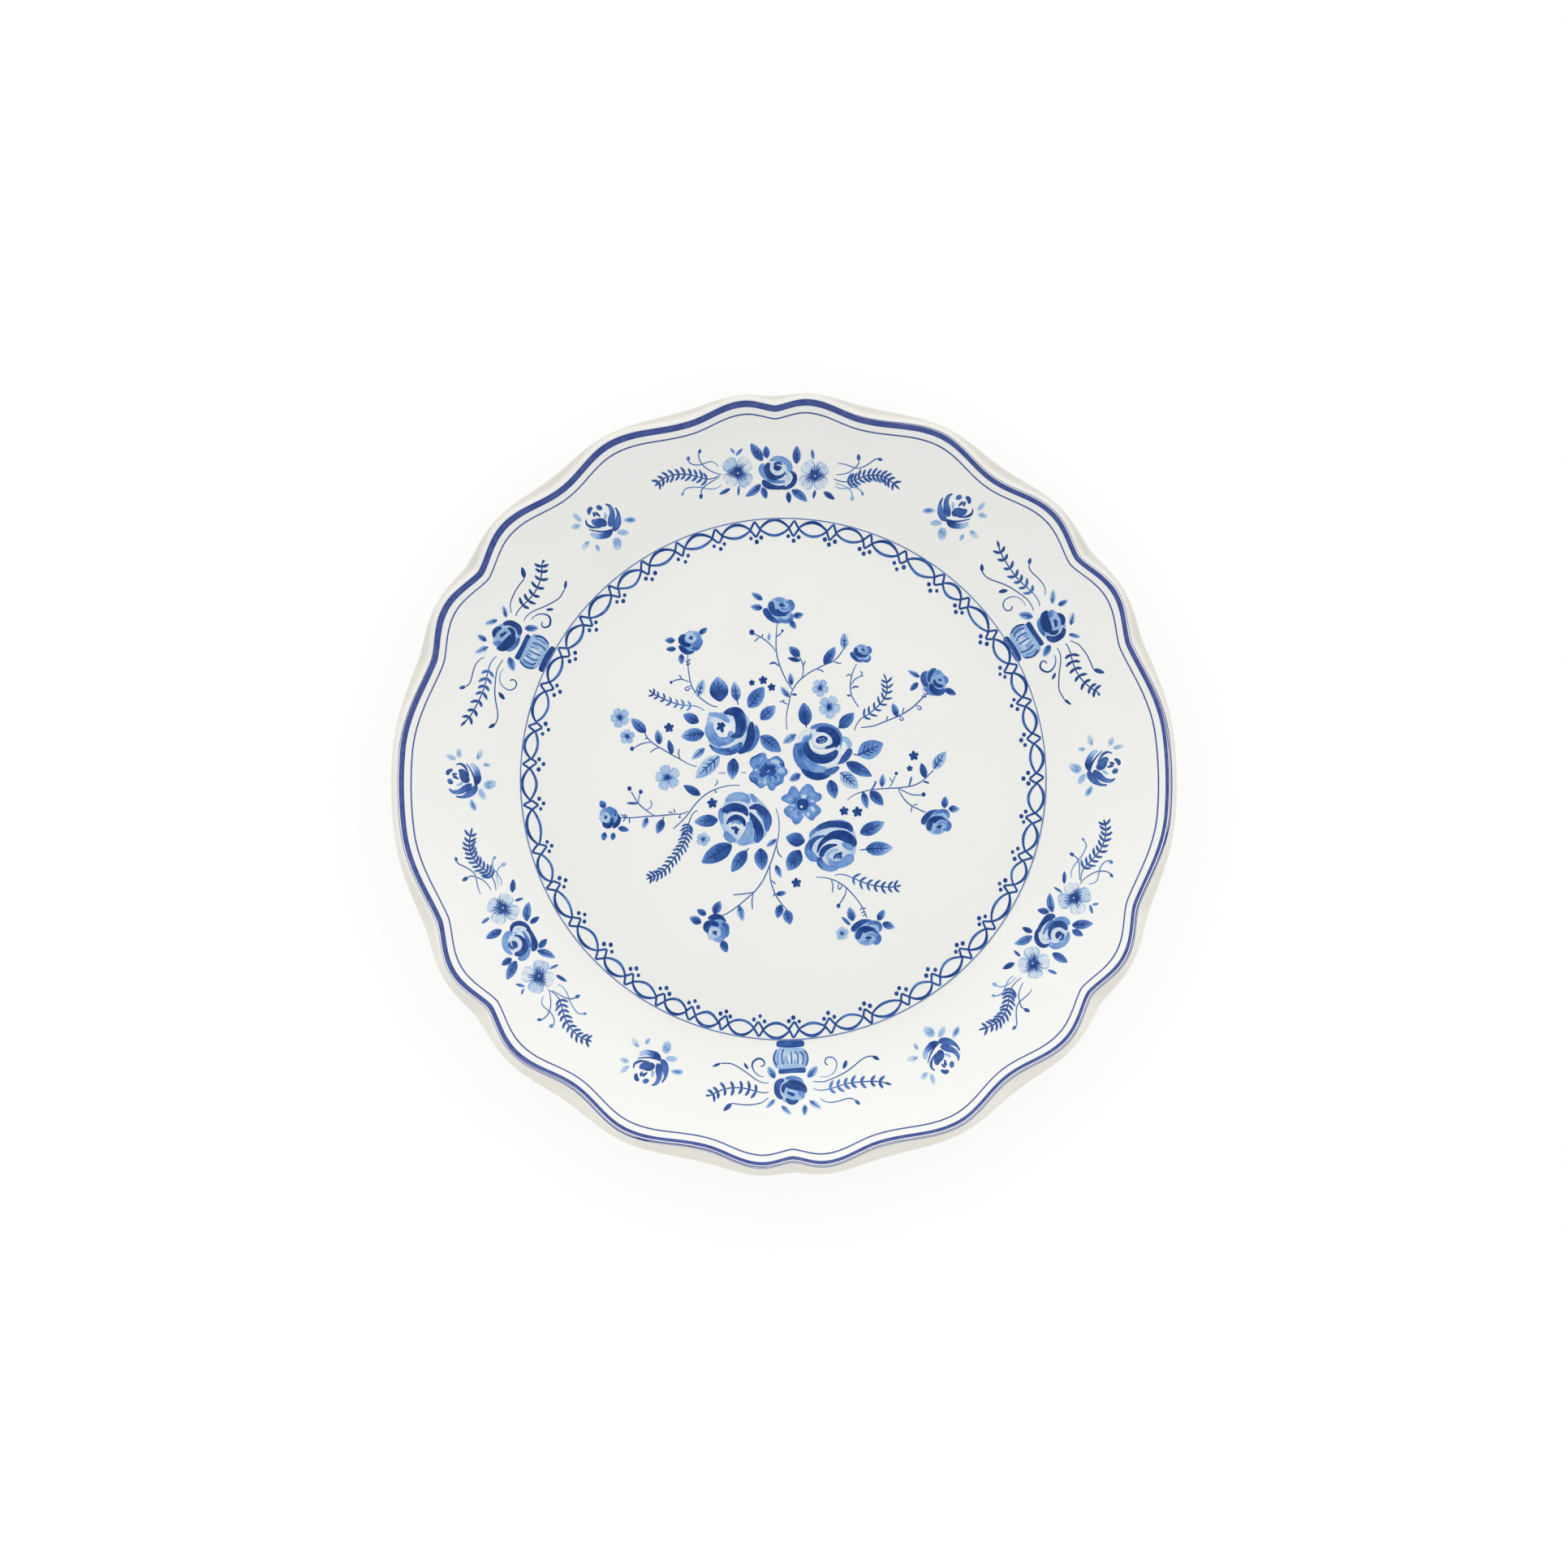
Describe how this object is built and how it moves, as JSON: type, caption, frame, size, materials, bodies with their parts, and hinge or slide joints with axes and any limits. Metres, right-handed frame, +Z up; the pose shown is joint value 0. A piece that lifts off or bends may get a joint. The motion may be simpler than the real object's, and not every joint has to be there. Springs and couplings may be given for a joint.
{
  "type": "dinner plate",
  "caption": "Round china dinner plate with a scalloped rim, shallow well and foot ring, glazed white with a cobalt-blue printed flower pattern.",
  "frame": {"origin": "on the table, under the middle of the plate's outline", "axes": "+Z up out of the well, +X towards the widest lobe of the rim, at right angles to the upright of the print"},
  "size_m": [0.2714, 0.2698, 0.022],
  "materials": {
    "glazed_china": "gloss clear glaze over white china, cobalt-blue print under the glaze on the upper face"
  },
  "bodies": {
    "root": {"plate_body": "glazed_china"}
  },
  "joints": []
}
